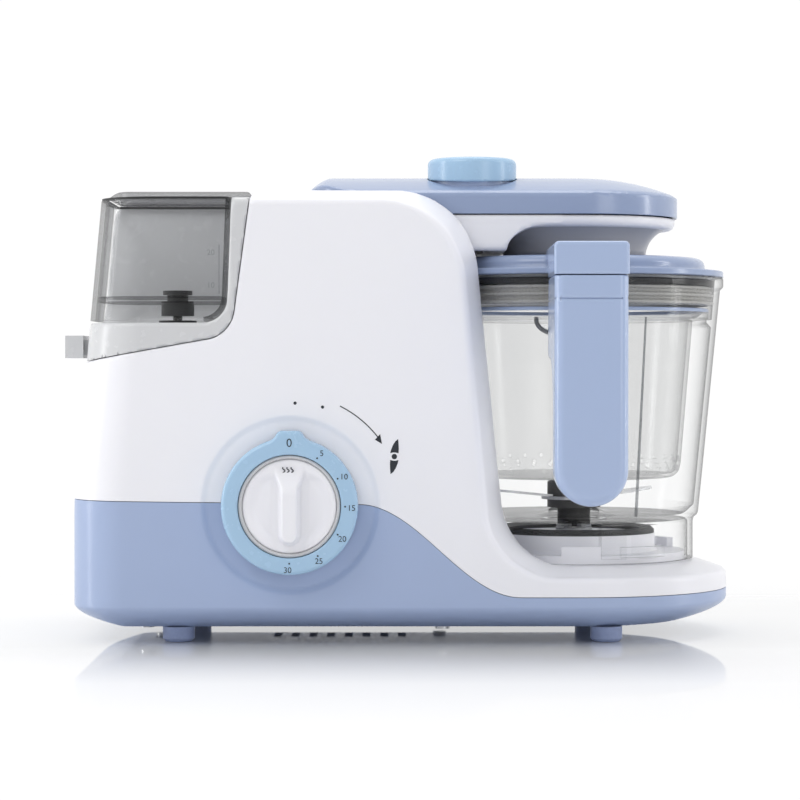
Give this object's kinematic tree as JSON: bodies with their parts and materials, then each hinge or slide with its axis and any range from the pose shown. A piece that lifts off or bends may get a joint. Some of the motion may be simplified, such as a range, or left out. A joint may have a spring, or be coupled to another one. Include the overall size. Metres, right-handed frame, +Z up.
{
  "type": "baby food maker",
  "caption": "Countertop baby food maker: white and blue body with clear water tank, steam timer knob, clear blending jug with handle on a round platform, under a hinged arm.",
  "frame": {"origin": "on the supporting surface, under the middle of the bounding box", "axes": "+X to the jug's end, +Y from the control panel to the back, +Z up"},
  "size_m": [0.318, 0.202, 0.229],
  "materials": {
    "white_plastic": "satin moulded",
    "blue_plastic": "satin moulded",
    "foot_blue": "soft matte",
    "light_blue_plastic": "satin moulded",
    "clear_plastic": "clear moulded copolyester",
    "smoke_plastic": "smoky clear",
    "grey_plastic": "satin moulded",
    "dark_plastic": "matte",
    "dark_rubber": "matte",
    "silicone": "translucent silicone",
    "stainless": "brushed",
    "cast_aluminium": "as cast",
    "copper_winding": "varnished wire and laminations",
    "board_green": "solder mask",
    "cream_plastic": "moulded nylon"
  },
  "bodies": {
    "housing": {"front_housing": "white_plastic", "rear_housing": "white_plastic", "lower_housing": "blue_plastic", "bottom_plate": "blue_plastic", "foot_front_left": "foot_blue", "foot_front_right": "foot_blue", "foot_rear_left": "foot_blue", "foot_rear_right": "foot_blue", "base_screws": "stainless", "jug_dock": "white_plastic", "dock_seal": "dark_rubber", "drive_bearings": "stainless", "motor_can": "stainless", "motor_end_cap": "dark_plastic", "motor_bracket": "stainless", "motor_screws": "stainless", "boiler": "cast_aluminium", "heating_element": "stainless", "thermostat": "dark_plastic", "water_tube": "silicone", "steam_tube": "silicone", "tank_port": "dark_rubber", "timer_body": "cream_plastic", "selector_switch": "dark_plastic", "circuit_board": "board_green", "lid_switch": "dark_plastic", "terminal_block": "cream_plastic", "cord_gland": "dark_rubber", "tank_cradle": "grey_plastic", "lid_hinge_pin": "stainless", "drive_belt": "dark_rubber", "button_boot": "dark_rubber"},
    "arm": {"arm_cover": "blue_plastic", "arm_lower_shell": "white_plastic", "arm_hinge_barrels": "white_plastic", "steam_nozzle": "white_plastic", "button_collar": "blue_plastic", "button_spring": "stainless"},
    "arm_button": {"arm_button": "light_blue_plastic"},
    "arm_latch": {"arm_latch": "dark_plastic"},
    "timer_knob": {"timer_knob": "white_plastic", "knob_trim_ring": "grey_plastic", "timer_shaft": "stainless"},
    "selector_ring": {"selector_ring": "light_blue_plastic"},
    "jug": {"jug": "clear_plastic", "jug_handle": "blue_plastic", "steam_basket": "smoke_plastic"},
    "jug_lid": {"jug_lid": "blue_plastic", "jug_lid_seal": "dark_rubber"},
    "blade": {"blade_hub": "dark_plastic", "blades": "stainless"},
    "drive": {"drive_coupling": "stainless", "driven_pulley": "dark_plastic"},
    "motor_rotor": {"rotor": "copper_winding", "motor_pulley": "dark_plastic"},
    "tank": {"water_tank": "smoke_plastic", "tank_valve": "dark_rubber"},
    "tank_lid": {"tank_lid": "smoke_plastic", "tank_gasket": "dark_rubber"},
    "release_button": {"release_button": "grey_plastic"}
  },
  "joints": [
    {"name": "arm_hinge", "type": "hinge", "parent": "housing", "child": "arm", "pos_m": [-0.038, 0.021, 0.207], "axis": [0, -1, 0], "range_deg": [0, 80]},
    {"name": "button_press", "type": "slide", "parent": "arm", "child": "arm_button", "axis": [0, 0, -1], "range_m": [0, 0.0015], "stiffness_N_per_m": 400, "deforming": ["button_spring"]},
    {"name": "latch_slide", "type": "slide", "parent": "arm", "child": "arm_latch", "axis": [0, 1, 0], "range_m": [0, 0.0015]},
    {"name": "timer_turn", "type": "hinge", "parent": "housing", "child": "timer_knob", "pos_m": [-0.0505, -0.059, 0.065], "axis": [0, 1, 0], "range_deg": [0, 180]},
    {"name": "selector_turn", "type": "hinge", "parent": "housing", "child": "selector_ring", "pos_m": [-0.0505, -0.059, 0.065], "axis": [0, 1, 0], "range_deg": [0, 64]},
    {"name": "jug_twist", "type": "hinge", "parent": "housing", "child": "jug", "pos_m": [0.0853, 0.021, 0.05], "axis": [0, 0, 1], "range_deg": [0, 15]},
    {"name": "jug_lid_twist", "type": "hinge", "parent": "jug", "child": "jug_lid", "pos_m": [0.0853, 0.021, 0.05], "axis": [0, 0, 1], "range_deg": [0, 30]},
    {"name": "motor_spin", "type": "hinge", "parent": "housing", "child": "motor_rotor", "pos_m": [-0.028, 0.021, 0.05], "axis": [0, 0, 1], "continuous": true},
    {"name": "drive_spin", "type": "hinge", "parent": "housing", "child": "drive", "pos_m": [0.0853, 0.021, 0.05], "axis": [0, 0, 1], "continuous": true},
    {"name": "blade_spin", "type": "hinge", "parent": "jug", "child": "blade", "pos_m": [0.0853, 0.021, 0.05], "axis": [0, 0, 1], "continuous": true},
    {"name": "tank_lift", "type": "slide", "parent": "housing", "child": "tank", "axis": [0, 0, 1], "range_m": [0, 0.09]},
    {"name": "tank_lid_hinge", "type": "hinge", "parent": "tank", "child": "tank_lid", "pos_m": [-0.0718, -0.018, 0.2096], "axis": [0, 1, 0], "range_deg": [0, 75]},
    {"name": "release_press", "type": "slide", "parent": "housing", "child": "release_button", "axis": [1, 0, 0], "range_m": [0, 0.003], "stiffness_N_per_m": 300}
  ],
  "couplings": [
    {"joint": "latch_slide", "follows": "button_press", "ratio": 1},
    {"joint": "drive_spin", "follows": "motor_spin", "ratio": 0.33333},
    {"joint": "blade_spin", "follows": "motor_spin", "ratio": 0.33333}
  ]
}
